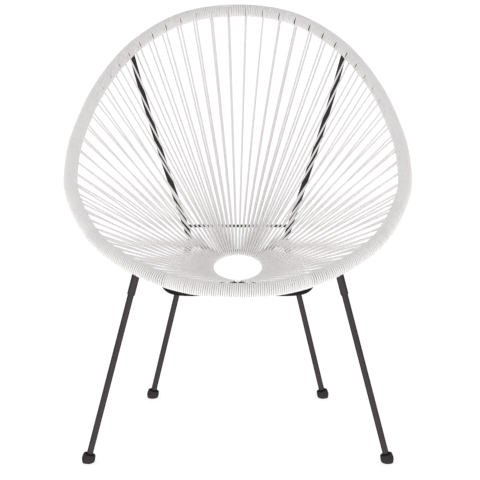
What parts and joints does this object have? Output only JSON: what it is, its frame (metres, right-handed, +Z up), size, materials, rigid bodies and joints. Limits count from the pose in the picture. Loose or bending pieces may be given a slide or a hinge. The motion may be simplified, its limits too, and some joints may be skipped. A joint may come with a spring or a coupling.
{
  "type": "strung lounge chair",
  "caption": "Round garden lounge chair: a tilted egg-shaped rim strung with white cords to a small seat ring, on splayed screw-in legs.",
  "frame": {"origin": "on the floor, under the middle of the chair's bounding box", "axes": "+Z up, +Y from the front of the seat to the back, +X to the right as seen from the front"},
  "size_m": [0.7112, 0.7709, 0.8588],
  "materials": {
    "frame": "satin black powder coat",
    "stud": "zinc plated",
    "foot": "matt black rubber",
    "cord": "satin white extruded cord"
  },
  "bodies": {
    "root": {"rim_tube": "frame", "seat_ring": "frame", "back_strut_left": "frame", "back_strut_right": "frame", "rear_crossbar": "frame", "front_bow": "frame", "socket_front_left": "frame", "leg_front_left": "frame", "leg_stud_front_left": "stud", "foot_cap_front_left": "foot", "socket_front_right": "frame", "leg_front_right": "frame", "leg_stud_front_right": "stud", "foot_cap_front_right": "foot", "socket_rear_left": "frame", "leg_rear_left": "frame", "leg_stud_rear_left": "stud", "foot_cap_rear_left": "foot", "socket_rear_right": "frame", "leg_rear_right": "frame", "leg_stud_rear_right": "stud", "foot_cap_rear_right": "foot", "cord_bay_01": "cord", "cord_bay_02": "cord", "cord_bay_03": "cord", "cord_bay_04": "cord", "cord_bay_05": "cord", "cord_bay_06": "cord", "cord_bay_07": "cord", "cord_bay_08": "cord", "cord_bay_09": "cord", "cord_bay_10": "cord", "cord_bay_11": "cord", "cord_bay_12": "cord"}
  },
  "joints": []
}
